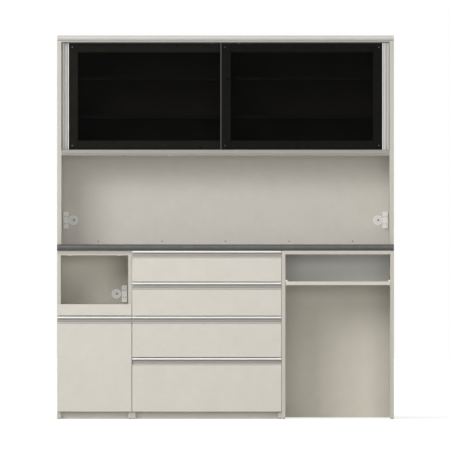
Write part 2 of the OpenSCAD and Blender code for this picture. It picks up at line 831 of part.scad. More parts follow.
// A box of four walls with its bottom in grooves, and the runner members on its sides
module drawer_box(mid_x, half, front_z, h) {
  w = half - runner_space;
  z = front_z + box_lift;
  inner_w = w - box_t;
  color(birch) translate([mid_x, box_y, z]) {
    difference() {
      union() {
        both_sides() board([inner_w, 0, 0], [w, box_l, h]);
        for (y = [0, box_l - box_t])
          board([-inner_w + joint_gap, y, 0], [inner_w - joint_gap, y + box_t, h]);
      }
      block([-inner_w - groove_d, box_t - groove_d, bottom_rise],
        [inner_w + groove_d, box_l - box_t + groove_d, bottom_rise + box_bottom_t + 2 * joint_gap]);
    }
    block([joint_gap - inner_w - groove_d, box_t - groove_d + joint_gap, bottom_rise + joint_gap],
      [inner_w + groove_d - joint_gap, box_l - box_t + groove_d - joint_gap,
        bottom_rise + joint_gap + box_bottom_t]);
  }
  color(steel) runner_pair(mid_x, half, runner_z(front_z)) drawer_member();
}

module mid_runners(mid_x, half, z) color(steel) runner_pair(mid_x, half, z) mid_member();

// The tray's board, its two side rails and their runner members
module tray_board() {
  color(cream) board([left_mid_x - left_half + tray_side_gap, box_y, tray_under_z],
    [left_mid_x + left_half - tray_side_gap, panel_y - tray_end_gap, tray_top_z]);
  color(birch) translate([left_mid_x, 0, 0]) both_sides()
    board([left_half - runner_space - tray_side_t, box_y, tray_under_z - joint_gap - tray_side_h],
      [left_half - runner_space, box_y + box_l, tray_under_z - joint_gap]);
  color(steel) runner_pair(left_mid_x, left_half, tray_runner_z) drawer_member();
}

module tray_front() color(cream)
  board([left_edge + front_side_gap, face_y, tray_front_z],
    [left_split - front_side_gap, face_y + front_t, tray_top_z]);

module deep_front() drawer_front(left_edge, left_split, drawer_3_top, deep_front_h);

module middle_front(i) drawer_front(left_split, right_split, drawer_tops[i], drawer_heights[i]);

module middle_handle(i) drawer_handle(left_split, right_split, drawer_tops[i]);

module middle_box(i)
  drawer_box(middle_mid_x, middle_half, drawer_tops[i] - drawer_heights[i], drawer_heights[i] - box_headroom);

module middle_runners(i)
  mid_runners(middle_mid_x, middle_half, runner_z(drawer_tops[i] - drawer_heights[i]));

countertop();
upper_sides();
upper_top_panel();
upper_bottom_panel();
upper_back_panel();
upper_divider();
upper_shelves();
shelf_supports();
door_track_top();
door_track_bottom();
socket_outlets();
cord_grommets();
back_rails();
panel_screws();
left_unit_carcass();
middle_unit_carcass();
right_unit_carcass();
lower_back_panels();
plinths();
right_unit_shelf();
floor_glides();
cabinet_runners();
door_glass(-1);  // left_door_glass
door_frame(-1);  // left_door_frame
door_pull(-1);  // left_door_pull
door_fittings(-1);  // left_door_fittings
door_glass(1);  // right_door_glass
door_frame(1);  // right_door_frame
door_pull(1);  // right_door_pull
door_fittings(1);  // right_door_fittings
door_roller(-1, 1);  // left_door_roller_outer
door_roller(-1, 0);  // left_door_roller_inner
door_roller(1, 1);  // right_door_roller_outer
door_roller(1, 0);  // right_door_roller_inner
grommet_cap(-cord_x, outlet_z);  // left_grommet_cap
grommet_cap(cord_x, outlet_z);  // right_grommet_cap
grommet_cap(niche_cord_x, niche_outlet_z);  // niche_grommet_cap
tray_board();
tray_front();
mid_runners(left_mid_x, left_half, tray_runner_z);  // tray_runners
middle_front(0);  // drawer_1_front
middle_handle(0);  // drawer_1_handle
middle_box(0);  // drawer_1_box
middle_runners(0);  // drawer_1_runners
middle_front(1);  // drawer_2_front
middle_handle(1);  // drawer_2_handle
middle_box(1);  // drawer_2_box
middle_runners(1);  // drawer_2_runners
middle_front(2);  // drawer_3_front
middle_handle(2);  // drawer_3_handle
middle_box(2);  // drawer_3_box
middle_runners(2);  // drawer_3_runners
middle_front(3);  // drawer_4_front
middle_handle(3);  // drawer_4_handle
middle_box(3);  // drawer_4_box
middle_runners(3);  // drawer_4_runners
deep_front();  // deep_drawer_front
drawer_handle(left_edge, left_split, drawer_3_top);  // deep_drawer_handle
drawer_box(left_mid_x, left_half, front_low_z, deep_box_rise);  // deep_drawer_box
mid_runners(left_mid_x, left_half, runner_z(front_low_z));  // deep_drawer_runners
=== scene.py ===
"""Looks of the kitchen cupboard: camera, light, ground and procedural finishes."""
import math

import bpy
from mathutils import Matrix, Vector


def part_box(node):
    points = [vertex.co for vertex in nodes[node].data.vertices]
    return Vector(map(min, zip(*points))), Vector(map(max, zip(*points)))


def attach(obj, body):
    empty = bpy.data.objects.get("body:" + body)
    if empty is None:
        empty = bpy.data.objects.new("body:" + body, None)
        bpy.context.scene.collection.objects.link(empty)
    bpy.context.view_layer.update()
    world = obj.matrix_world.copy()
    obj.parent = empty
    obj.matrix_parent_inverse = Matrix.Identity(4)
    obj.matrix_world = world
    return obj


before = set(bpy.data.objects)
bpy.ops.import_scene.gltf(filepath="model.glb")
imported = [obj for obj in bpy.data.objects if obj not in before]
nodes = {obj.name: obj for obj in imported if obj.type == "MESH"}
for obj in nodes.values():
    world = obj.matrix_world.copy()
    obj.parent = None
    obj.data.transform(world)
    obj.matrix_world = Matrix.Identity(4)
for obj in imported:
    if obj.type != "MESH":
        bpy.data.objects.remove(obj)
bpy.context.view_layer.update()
scene = bpy.context.scene

# Camera: level and square to the front, far away, at a little over 1 m

VIEW_DISTANCE = 90.0
VIEW_WIDTH = 2.4035
VIEW_X = -0.0027
VIEW_Z = 1.036
FRONT_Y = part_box("countertop")[0].y
SENSOR_W = 36.0

camera_data = bpy.data.cameras.new("camera")
camera_data.sensor_width = SENSOR_W
camera_data.lens = SENSOR_W * VIEW_DISTANCE / VIEW_WIDTH
camera_data.clip_start = 0.5
camera_data.clip_end = 400.0
camera = bpy.data.objects.new("camera", camera_data)
camera.location = (VIEW_X, FRONT_Y - VIEW_DISTANCE, VIEW_Z)
camera.rotation_euler = (math.pi / 2, 0.0, 0.0)
scene.collection.objects.link(camera)
scene.camera = camera
scene.view_settings.view_transform = "Standard"


# Node trees in short form

X, Y, Z = range(3)
WHITE = (1.0, 1.0, 1.0)
EVEN = (1.0, 1.0, 1.0)


def scaled(colour, share):
    return [share * part for part in colour]


def rgba(colour):
    """A plain colour gets its fourth value, and an output stays as it is."""
    return colour if isinstance(colour, bpy.types.NodeSocket) else (*colour, 1.0)


class Nodes:
    """A node tree with short calls for its usual nodes."""

    def __init__(self, tree):
        self.tree = tree

    def add(self, kind, **settings):
        node = self.tree.nodes.new(kind)
        for key, value in settings.items():
            setattr(node, key, value)
        return node

    def put(self, socket, value):
        """Links an output to a socket, or sets the socket's value."""
        if isinstance(value, bpy.types.NodeSocket):
            self.tree.links.new(value, socket)
        else:
            socket.default_value = value

    def remap(self, value, low, high, start=0.3, end=0.7):
        """A value between start and end, spread over low to high."""
        node = self.add("ShaderNodeMapRange")
        self.put(node.inputs["Value"], value)
        node.inputs["From Min"].default_value = start
        node.inputs["From Max"].default_value = end
        node.inputs["To Min"].default_value = low
        node.inputs["To Max"].default_value = high
        return node.outputs["Result"]

    def math(self, operation, first, second=0.0):
        node = self.add("ShaderNodeMath", operation=operation)
        self.put(node.inputs[0], first)
        self.put(node.inputs[1], second)
        return node.outputs[0]

    def part(self, vector, index):
        """One of a vector's three values."""
        split = self.add("ShaderNodeSeparateXYZ")
        self.put(split.inputs[0], vector)
        return split.outputs[index]


class Finish(Nodes):
    """A material's node tree, with its shader and the object's own coordinates."""

    def __init__(self, name, **inputs):
        self.material = bpy.data.materials.new(name)
        self.material.use_nodes = True
        super().__init__(self.material.node_tree)
        self.shader = self.tree.nodes["Principled BSDF"]
        for socket, value in inputs.items():
            self.shader.inputs[socket.replace("_", " ")].default_value = value
        self.coords = self.add("ShaderNodeTexCoord").outputs["Object"]

    def noise(self, scale, detail=3.0, rough=0.5, stretch=EVEN, offset=0.0):
        """Noise over the object, drawn out along the axes with a small stretch value."""
        mapping = self.add("ShaderNodeMapping")
        mapping.inputs["Scale"].default_value = stretch
        mapping.inputs["Location"].default_value = (offset, offset, offset)
        self.put(mapping.inputs["Vector"], self.coords)
        texture = self.add("ShaderNodeTexNoise")
        self.put(texture.inputs["Vector"], mapping.outputs["Vector"])
        texture.inputs["Scale"].default_value = scale
        texture.inputs["Detail"].default_value = detail
        texture.inputs["Roughness"].default_value = rough
        return texture.outputs["Fac"]

    def mix(self, share, first, second):
        """A colour between two others."""
        node = self.add("ShaderNodeMix", data_type="RGBA")
        self.put(node.inputs["Factor"], share)
        self.put(node.inputs[6], rgba(first))
        self.put(node.inputs[7], rgba(second))
        return node.outputs[2]

    def axis(self, index):
        """One of the object's coordinates."""
        return self.part(self.coords, index)

    def facing(self, index):
        """One of the values of the surface's own normal."""
        return self.part(self.add("ShaderNodeTexCoord").outputs["Normal"], index)

    def bands(self, value, stops):
        """Grey shares along a value: each stop is a value and its share, in rising order."""
        low, high = stops[0][0], stops[-1][0]
        node = self.add("ShaderNodeValToRGB")
        self.put(node.inputs["Fac"], self.remap(value, 0.0, 1.0, start=low, end=high))
        elements = node.color_ramp.elements
        for element, (_, share) in zip([elements[0], elements[1]], [stops[0], stops[-1]]):
            element.color = rgba(scaled(WHITE, share))
        for place, share in stops[1:-1]:
            elements.new((place - low) / (high - low)).color = rgba(scaled(WHITE, share))
        return node.outputs["Color"]

    def tint(self, colour, shares):
        """A colour multiplied by shares."""
        node = self.add("ShaderNodeMix", data_type="RGBA", blend_type="MULTIPLY")
        node.inputs["Factor"].default_value = 1.0
        self.put(node.inputs[6], colour)
        self.put(node.inputs[7], shares)
        return node.outputs[2]

    def bump(self, height, strength, distance):
        node = self.add("ShaderNodeBump")
        node.inputs["Strength"].default_value = strength
        node.inputs["Distance"].default_value = distance
        self.put(node.inputs["Height"], height)
        return node.outputs["Normal"]

    def done(self, **links):
        for socket, value in links.items():
            self.put(self.shader.inputs[socket.replace("_", " ")], value)
        return self.material


# Strips of tone and masks

ZONE_BLEND = 0.001
FRONT_NORMAL = -0.5
MEMBER_W = 0.00985
SHELF_MARGIN = 0.01


def zones(start, strips):
    """Stops for strips of even tone, each given by its distance from the start and its share."""
    stops = [(start + strips[0][0], strips[0][1])]
    for (_, share_before), (place, share) in zip(strips, strips[1:]):
        border = start + place
        stops += [(border - ZONE_BLEND / 2, share_before), (border + ZONE_BLEND / 2, share)]
    return stops


def faces_front(t):
    """A mask for the faces that are turned to the front."""
    return t.math("LESS_THAN", t.facing(Y), FRONT_NORMAL)


def beside(mid_x, half_w, below=None):
    """A mask for what lies outside a half width about mid_x, and below a height."""
    def mask(t):
        away = t.math("ABSOLUTE", t.math("SUBTRACT", t.axis(X), mid_x))
        outside = t.math("GREATER_THAN", away, half_w)
        if not below:
            return outside
        return t.math("MULTIPLY", outside, t.math("LESS_THAN", t.axis(Z), below))
    return mask


def beside_box(name, below=None):
    """A mask for the steel runner members, as wide as MEMBER_W, at both sides of a drawer box."""
    low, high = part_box(name)
    return beside((low.x + high.x) / 2, (high.x - low.x) / 2 - MEMBER_W, below)


def above_shelf(t):
    """A mask for the back panel's front face over the bay's shelf, which gets a lighter, cooler
    painted light tone.
    """
    low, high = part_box("right_unit_shelf")
    beyond = t.math("GREATER_THAN", t.axis(X), low.x - SHELF_MARGIN)
    over = t.math("GREATER_THAN", t.axis(Z), (low.z + high.z) / 2)
    return t.math("MULTIPLY", t.math("MULTIPLY", beyond, over), faces_front(t))


# Finishes

EMBOSS_SCALE = 1400.0
LAMINATE_ROUGH = (0.34, 0.44)
LINE_SCALE = 900.0
LINE_STRETCH = 0.012
LINE_BUMP = (0.08, 0.0001)
LINE_SHARE = 0.08
LINE_GREY = (0.30, 0.30, 0.30)
TRIM_GREY = (0.05, 0.05, 0.05)
ALONG_X = (LINE_STRETCH, 1.0, 1.0)
ALONG_Z = (1.0, 1.0, LINE_STRETCH)
BIRCH_STRETCH = (1.0, 1.0, 16.0)
SLATE_DARK = (0.078, 0.080, 0.083)
SLATE_LIGHT = (0.110, 0.112, 0.114)
SLATE_EDGE_DARK = (0.114, 0.115, 0.117)
SLATE_EDGE_LIGHT = (0.155, 0.155, 0.158)
SPECK_PALE = (0.20, 0.20, 0.21)
SPECK_DEEP = (0.030, 0.032, 0.036)
SPECK_SPAN = (0.62, 0.74)
ZINC_DARK = (0.50, 0.51, 0.53)
ZINC_LIGHT = (0.66, 0.67, 0.69)
MEMBER_STEEL = (0.60, 0.61, 0.63)
GLASS_DARK = (0.0012, 0.0012, 0.0014)
GLASS_LIGHT = (0.0022, 0.0022, 0.0022)
BIRCH_DARK = (0.47, 0.36, 0.235)
BIRCH_LIGHT = (0.62, 0.505, 0.36)
BIRCH_MID = (0.56, 0.45, 0.31)


def laminate(name, light, dark, edge=None, stops=None, across=None, patch=None):
    """Warm white melamine board: a faint cloudy tone, a fine fibre and a pearl emboss.
    An edge colour goes on the faces turned to the front and the back, where a board is
    edge-banded. Stops and across give shares of painted shade over the height and the width.
    A patch is a mask and the painted light and dark colours that it has instead."""
    t = Finish(name, Specular_IOR_Level=0.4)
    clouds = t.remap(t.noise(14.0, detail=5.0, rough=0.6), 0.0, 1.0)
    tone = t.mix(clouds, dark, light)
    fibre = t.remap(t.noise(40.0, detail=4.0, rough=0.6, stretch=(0.5, 2.0, 2.0)), 0.0, 0.3)
    colour = t.mix(fibre, tone, scaled(dark, 0.96))
    if edge:
        banded = t.math("GREATER_THAN", t.math("ABSOLUTE", t.facing(Y)), 0.9)
        colour = t.mix(banded, colour, t.mix(clouds, scaled(edge, 0.97), edge))
    if stops:
        colour = t.tint(colour, t.bands(t.axis(Z), stops))
    if across:
        colour = t.tint(colour, t.bands(t.axis(X), across))
    if patch:
        mask, patch_light, patch_dark = patch
        colour = t.mix(mask(t), colour, t.mix(clouds, patch_dark, patch_light))
    emboss = t.bump(t.noise(EMBOSS_SCALE, detail=2.0), strength=0.12, distance=0.0002)
    return t.done(Base_Color=colour, Roughness=t.remap(clouds, *LAMINATE_ROUGH, start=0.0, end=1.0),
                  Normal=emboss)


def slate(stops):
    """Dark slate countertop: soft grey clouds, pale and dark specks and a fine leather grain.
    Stops give the shares of its front edge's painted shade and painted highlight over the height."""
    t = Finish("slate_top", Specular_IOR_Level=0.45)
    clouds = t.remap(t.noise(26.0, detail=6.0, rough=0.62), 0.0, 1.0)
    top = t.mix(clouds, SLATE_DARK, SLATE_LIGHT)
    edge = t.mix(clouds, SLATE_EDGE_DARK, SLATE_EDGE_LIGHT)
    edge = t.tint(edge, t.bands(t.axis(Z), stops))
    tone = t.mix(faces_front(t), top, edge)
    pale = t.remap(t.noise(700.0, detail=2.0), 0.0, 0.5, *SPECK_SPAN)
    specks = t.mix(pale, tone, SPECK_PALE)
    deep = t.remap(t.noise(520.0, detail=2.0, offset=3.0), 0.0, 0.6, *SPECK_SPAN)
    colour = t.mix(deep, specks, SPECK_DEEP)
    grain = t.bump(t.noise(420.0, detail=4.0, rough=0.6), strength=0.25, distance=0.0004)
    return t.done(Base_Color=colour, Roughness=t.remap(clouds, 0.36, 0.48, start=0.0, end=1.0),
                  Normal=grain)


def board(name, steel=None):
    """Bare pale board with a soft grain along it, and steel where the mask says."""
    t = Finish(name, Specular_IOR_Level=0.3)
    grain = t.noise(7.0, detail=8.0, rough=0.65, stretch=BIRCH_STRETCH)
    wide = t.noise(3.0, stretch=(1.0, 1.0, 5.0), offset=2.0)
    tone = t.mix(t.remap(grain, 0.0, 1.0), BIRCH_DARK, BIRCH_LIGHT)
    colour = t.mix(t.remap(wide, 0.0, 0.6), tone, BIRCH_MID)
    rough = t.remap(grain, 0.5, 0.62)
    links = {}
    if steel:
        mask = steel(t)
        zinc = t.remap(t.noise(90.0, detail=4.0, rough=0.6, offset=5.0), 0.0, 1.0)
        colour = t.mix(mask, colour, t.mix(zinc, ZINC_DARK, ZINC_LIGHT))
        rough = t.mix(mask, scaled(WHITE, 0.56), scaled(WHITE, 0.34))
        links["Metallic"] = mask
    return t.done(Base_Color=colour, Roughness=rough,
                  Normal=t.bump(grain, strength=0.18, distance=0.0004), **links)


def tray_finish(birch_top_z):
    """The tray's laminate board on bare rails with steel members."""
    t = Finish("tray_finish", Specular_IOR_Level=0.4)
    clouds = t.remap(t.noise(14.0, detail=5.0, rough=0.6), 0.0, 1.0)
    top = t.mix(clouds, CREAM_DARK, CREAM_LIGHT)
    grain = t.noise(7.0, detail=8.0, rough=0.65, stretch=BIRCH_STRETCH)
    rail = t.mix(t.remap(grain, 0.0, 1.0), BIRCH_DARK, BIRCH_LIGHT)
    low_mask = t.math("LESS_THAN", t.axis(Z), birch_top_z)
    steel_mask = beside_box("deep_drawer_box", birch_top_z)(t)
    colour = t.mix(steel_mask, t.mix(low_mask, top, rail), MEMBER_STEEL)
    emboss = t.bump(t.noise(EMBOSS_SCALE, detail=2.0), strength=0.12, distance=0.0002)
    return t.done(Base_Color=colour, Metallic=steel_mask,
                  Roughness=t.remap(clouds, *LAMINATE_ROUGH, start=0.0, end=1.0), Normal=emboss)


def brushed(name, stretch, colour, rough, metal=1.0, stops=None):
    """Satin metal with fine lines along one axis; a lower metal value gives an anodised,
    softer face. Stops give the shares of painted shade over the height."""
    t = Finish(name, Metallic=metal)
    lines = t.noise(LINE_SCALE, rough=0.6, stretch=stretch)
    soft = t.noise(9.0, detail=2.0, offset=4.0)
    darker = scaled(colour, 0.95)
    tone = t.mix(t.remap(lines, 0.0, 1.0), darker, colour)
    tone = t.mix(t.remap(soft, 0.0, 0.25), tone, darker)
    if stops:
        tone = t.tint(tone, t.bands(t.axis(Z), stops))
    return t.done(Base_Color=tone, Roughness=t.remap(lines, rough - 0.05, rough + 0.05),
                  Normal=t.bump(lines, *LINE_BUMP))


def handle_metal(name, stops, lip, cove, back):
    """Anodised handle rail with painted light and shade: a brighter lip face as a painted
    highlight, and a satin recess, darker at its back as painted shade and paler where its cove
    turns up as painted light from above. Stops give the shares of the recess's painted shade
    strips, down from the rail's top."""
    low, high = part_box(name)
    t = Finish(name + "_silver", Metallic=0.1)
    lines = t.noise(LINE_SCALE, rough=0.6, stretch=ALONG_X)
    recess = t.mix(t.remap(t.facing(Z), 0.0, 1.0, start=0.35, end=0.65), back, cove)
    recess = t.tint(recess, t.bands(t.math("SUBTRACT", high.z, t.axis(Z)), stops))
    face = t.math("LESS_THAN", t.axis(Y), low.y + LIP_DEPTH)
    tone = t.mix(t.remap(lines, 0.0, LINE_SHARE), t.mix(face, recess, lip), LINE_GREY)
    return t.done(Base_Color=tone, Roughness=t.remap(lines, 0.36, 0.46),
                  Normal=t.bump(lines, *LINE_BUMP))


def pull_metal(name, front_y, inner_x, stops, face, deep):
    """Anodised finger pull with fine lines along it, with painted shade deeper in its slot and its
    flute. Stops give the shares of its painted highlights and shade from its inner edge to its
    outer edge."""
    t = Finish(name, Metallic=0.4)
    lines = t.noise(LINE_SCALE, rough=0.6, stretch=ALONG_Z)
    depth = t.remap(t.axis(Y), 0.0, 1.0, start=front_y + PULL_FACE_DEPTH,
                    end=front_y + PULL_DEEP_DEPTH)
    across = t.math("ABSOLUTE", t.math("SUBTRACT", t.axis(X), inner_x))
    tone = t.tint(t.mix(depth, face, deep), t.bands(across, stops))
    tone = t.mix(t.remap(lines, 0.0, LINE_SHARE), tone, LINE_GREY)
    return t.done(Base_Color=tone, Roughness=t.remap(lines, 0.37, 0.47),
                  Normal=t.bump(lines, *LINE_BUMP))


def fittings_metal(name, trim, screw):
    """Dark satin trim at the doors' inner edges, and brighter screws beside it."""
    t = Finish(name, Metallic=1.0)
    lines = t.noise(LINE_SCALE, rough=0.6, stretch=ALONG_Z)
    beyond = t.math("GREATER_THAN", t.math("ABSOLUTE", t.axis(X)), TRIM_REACH)
    tone = t.mix(t.remap(lines, 0.0, LINE_SHARE), t.mix(beyond, trim, screw), TRIM_GREY)
    return t.done(Base_Color=tone, Roughness=t.remap(lines, 0.31, 0.41),
                  Normal=t.bump(lines, *LINE_BUMP))


def zinc_steel(name):
    """Zinc plated sheet with a faint spangle."""
    t = Finish(name, Metallic=1.0)
    spangle = t.add("ShaderNodeTexVoronoi")
    t.put(spangle.inputs["Vector"], t.coords)
    spangle.inputs["Scale"].default_value = 160.0
    share = t.remap(spangle.outputs["Distance"], 0.0, 1.0, start=0.0, end=0.8)
    fine = t.noise(600.0, detail=2.0)
    return t.done(Base_Color=t.mix(share, ZINC_DARK, ZINC_LIGHT),
                  Roughness=t.remap(fine, 0.28, 0.40),
                  Normal=t.bump(fine, strength=0.06, distance=0.0001))


def film(name, dark, light):
    """Black film on the doors' stiles and rails, smooth with a slight orange peel."""
    t = Finish(name, Specular_IOR_Level=0.1)
    cloud = t.remap(t.noise(30.0, detail=4.0, rough=0.6), 0.0, 1.0)
    peel = t.bump(t.noise(260.0, detail=2.0), strength=0.05, distance=0.0002)
    return t.done(Base_Color=t.mix(cloud, dark, light),
                  Roughness=t.remap(cloud, 0.27, 0.34, start=0.0, end=1.0), Normal=peel)


def smoked_glass():
    """Smoked pane that lets a little of the closet show through."""
    t = Finish("smoked_glass", Alpha=0.68, Specular_IOR_Level=0.16)
    haze = t.remap(t.noise(5.0), 0.0, 1.0)
    return t.done(Base_Color=t.mix(haze, GLASS_DARK, GLASS_LIGHT),
                  Roughness=t.remap(haze, 0.03, 0.06, start=0.0, end=1.0))


def plastic(name, colour, rough, grain=0.06):
    """Moulded plastic with a fine satin texture."""
    t = Finish(name, Specular_IOR_Level=0.45)
    fine = t.noise(1600.0, detail=2.0)
    soft = t.remap(t.noise(22.0), 0.0, 1.0)
    tone = t.mix(soft, scaled(colour, 0.965), colour)
    return t.done(Base_Color=tone, Roughness=t.remap(fine, rough - 0.04, rough + 0.05),
                  Normal=t.bump(fine, strength=grain, distance=0.0001))


# Boards

CREAM_LIGHT = (0.672, 0.648, 0.595)
CREAM_DARK = (0.640, 0.615, 0.561)
EDGE = (0.560, 0.545, 0.492)
# A darker edge for the closet's bottom board: painted shade
LOW_EDGE_SHADE = (0.310, 0.300, 0.268)
SHELF_EDGE = (0.36, 0.35, 0.315)
TOP_LIGHT = (0.690, 0.683, 0.650)
TOP_DARK = (0.655, 0.648, 0.615)
# Brighter, warmer copies of the cream for the lower back panels: painted warm bounce light
BACK_PAINTED_WARM_LIGHT = (0.840, 0.806, 0.716)
BACK_PAINTED_WARM_DARK = (0.800, 0.765, 0.675)
# Lighter, cooler copies for the back over the bay's shelf: painted light
BAY_PAINTED_COOL_LIGHT = (0.815, 0.815, 0.785)
BAY_PAINTED_COOL_DARK = (0.795, 0.795, 0.765)
TRAY_BOARD_T = 0.0182

counter_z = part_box("countertop")[0].z
closet_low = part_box("upper_bottom_panel")[0].z
top_low, top_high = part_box("upper_top_panel")
top_half = (top_high.z - top_low.z) / 2
niche_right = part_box("tray_board")[1].x
bay_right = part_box("right_unit_shelf")[1].x

# The countertop's edge: painted shade on the low nose and the upper nose, and two strips of its
# front, the upper one a painted highlight
slate_top = slate(zones(counter_z, [(0.0, 0.50), (0.0143, 0.78), (0.020, 1.0), (0.0255, 0.73)]))

cream = laminate("cream_board", CREAM_LIGHT, CREAM_DARK)
edged = laminate("cream_board_edged", CREAM_LIGHT, CREAM_DARK, EDGE)
low_edged_shade = laminate("cream_board_low_edge_shade", CREAM_LIGHT, CREAM_DARK, LOW_EDGE_SHADE)
shelf_board = laminate("cream_board_shelf", CREAM_LIGHT, CREAM_DARK, SHELF_EDGE)
# The top board's front is darker on its lower half: painted shade under its nose
top_panel = laminate("cream_board_top", TOP_LIGHT, TOP_DARK,
                     stops=zones(top_low.z, [(0.0, 0.81), (top_half, 0.98)]))
# A painted shadow of the countertop in a band along the left unit's top edge
left_unit = laminate("cream_board_left_unit", CREAM_LIGHT, CREAM_DARK, EDGE,
                     stops=zones(counter_z, [(-0.025, 1.0), (-0.019, 0.85), (-0.007, 1.0)]))

# The upper back panel has painted shade under the closet, darker towards its top
upper_back = laminate("cream_board_upper_back", CREAM_LIGHT, CREAM_DARK,
                      stops=[(closet_low - 0.17, 1.0), (closet_low - 0.04, 0.88)])

# The lower back panels carry painted light and shade: brighter, warmer base colours for painted
# bounce light, painted shade at mid height and at the right side of the niche and the bay, and a
# cooler painted light tone over the bay's shelf
lower_back = laminate(
    "cream_board_lower_back", BACK_PAINTED_WARM_LIGHT, BACK_PAINTED_WARM_DARK,
    stops=[(0.28 * counter_z, 0.81), (0.66 * counter_z, 0.73), (0.76 * counter_z, 0.76),
           (0.97 * counter_z, 1.0)],
    across=[(niche_right - 0.12, 1.0), (niche_right - 0.02, 0.80), (niche_right, 0.80),
            (bay_right - 0.5, 1.0), (bay_right - 0.13, 1.0), (bay_right, 0.86)],
    patch=(above_shelf, BAY_PAINTED_COOL_LIGHT, BAY_PAINTED_COOL_DARK))

bare = board("plain_board")
middle_board = board("plain_board_middle", beside_box("drawer_1_box"))
left_board = board("plain_board_left", beside_box("deep_drawer_box"))
tray = tray_finish(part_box("tray_board")[1].z - TRAY_BOARD_T)


# Metals

# The handles' recesses have strips of painted shade and light down from the top of each handle, the
# first the lip's painted shadow
LIP_DEPTH = 0.0006
RECESS_SHADE_STOPS = zones(0.0, [(0.009, 0.81), (0.0185, 0.96), (0.0245, 0.78), (0.0305, 0.98),
                           (0.036, 0.84)])
handles = {name: handle_metal(name, RECESS_SHADE_STOPS, lip=(0.88, 0.88, 0.865),
                              cove=(0.72, 0.71, 0.66), back=(0.42, 0.41, 0.375))
           for name in nodes if name.endswith("_handle")}

# The pulls have their strips of painted highlight and shade from the inner edge on: lip, slot,
# web, grip and outer edge. The left pull has a painted shadow of the key light in its slot.
PULL_FACE_DEPTH = 0.0004
PULL_DEEP_DEPTH = 0.0024
PULL_FACE = (0.77, 0.755, 0.735)
# The deeper colour is painted shade in the slots and flutes
PULL_DEEP = (0.58, 0.575, 0.545)
PULL_SHADE_STOPS = {
    "left": zones(0.0, [(0.0, 0.94), (0.0055, 0.39), (0.011, 0.68), (0.0205, 0.90),
                        (0.032, 0.34)]),
    "right": zones(0.0, [(0.0, 0.94), (0.0055, 0.70), (0.0115, 0.90), (0.017, 1.0),
                         (0.0283, 0.72), (0.033, 0.48)])}
PULL_INNER_X = {"left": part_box("left_door_pull")[1].x, "right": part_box("right_door_pull")[0].x}
pulls = {side + "_door_pull": pull_metal(side + "_pull_silver",
                                         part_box(side + "_door_pull")[0].y, PULL_INNER_X[side],
                                         PULL_SHADE_STOPS[side], PULL_FACE, PULL_DEEP)
         for side in ("left", "right")}

# The tracks, the doors' trim with its screws, and the steel
TRIM_REACH = 0.03
track_top_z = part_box("door_track_top")[1].z
low_track = brushed("silver_track", ALONG_X, (0.34, 0.335, 0.325), 0.42, metal=0.5)
# The top track's front is darker towards its bottom: painted shade under the top board
high_track = brushed("silver_track_high", ALONG_X, (0.50, 0.50, 0.49), 0.42, metal=0.35,
                     stops=zones(track_top_z, [(-0.0129, 0.22), (-0.0075, 0.61),
                                               (-0.0045, 1.0)]))
nickel = fittings_metal("dark_trim", (0.085, 0.082, 0.082), (0.16, 0.16, 0.155))
screws = brushed("panel_screw_steel", ALONG_Z, (0.23, 0.225, 0.215), 0.36)
steel = zinc_steel("runner_steel")


# Plastics, film and glass

white = plastic("white_plastic", (0.93, 0.93, 0.91), 0.34)
cap_white = plastic("white_plastic_cap", (0.80, 0.79, 0.76), 0.38)
grey = plastic("grey_plastic", (0.16, 0.16, 0.165), 0.5)
rubber = plastic("dark_rubber", (0.022, 0.021, 0.020), 0.55, grain=0.1)
# The doors' frames are lit and shaded copies of one black film: painted light, lighter on the left
# door and darker on the right one, whose glazing bead follows it
black = film("black_frame", (0.0064, 0.0062, 0.0045), (0.0088, 0.0085, 0.0064))
black_in_painted_shade = film("black_frame_right_painted_shade", (0.0034, 0.0033, 0.0024), (0.0050, 0.0048, 0.0036))
glass = smoked_glass()

FINISHES = {
    **pulls, **handles,
    "upper_back_panel": upper_back,
    "upper_top_panel": top_panel,
    "upper_sides": edged,
    "upper_bottom_panel": low_edged_shade,
    "upper_shelves": shelf_board,
    "shelf_supports": white,
    "back_rails": bare,
    "panel_screws": screws,
    "door_track_top": high_track,
    "door_track_bottom": low_track,
    "right_door_frame": black_in_painted_shade,
    "countertop": slate_top,
    "left_unit_carcass": left_unit,
    "middle_unit_carcass": edged,
    "right_unit_carcass": edged,
    "lower_back_panels": lower_back,
    "cabinet_runners": steel,
    "floor_glides": grey,
    "tray_board": tray,
    "deep_drawer_box": left_board,
    "socket_outlets": white,
    "cord_grommets": white}
ENDINGS = {
    "_glass": glass, "door_frame": black, "_fittings": nickel, "roller_outer": white,
    "roller_inner": white, "_cap": cap_white, "_box": middle_board, "_runners": steel}

for name, node in nodes.items():
    by_ending = next((ENDINGS[end] for end in ENDINGS if name.endswith(end)), cream)
    node.data.materials.clear()
    node.data.materials.append(FINISHES.get(name, by_ending))


# Small trim pieces: flat shapes with eased edges, drawn in the XZ plane and given a thickness
# along Y

EASE = 0.0002
SIDES = ("left", "right", "niche")


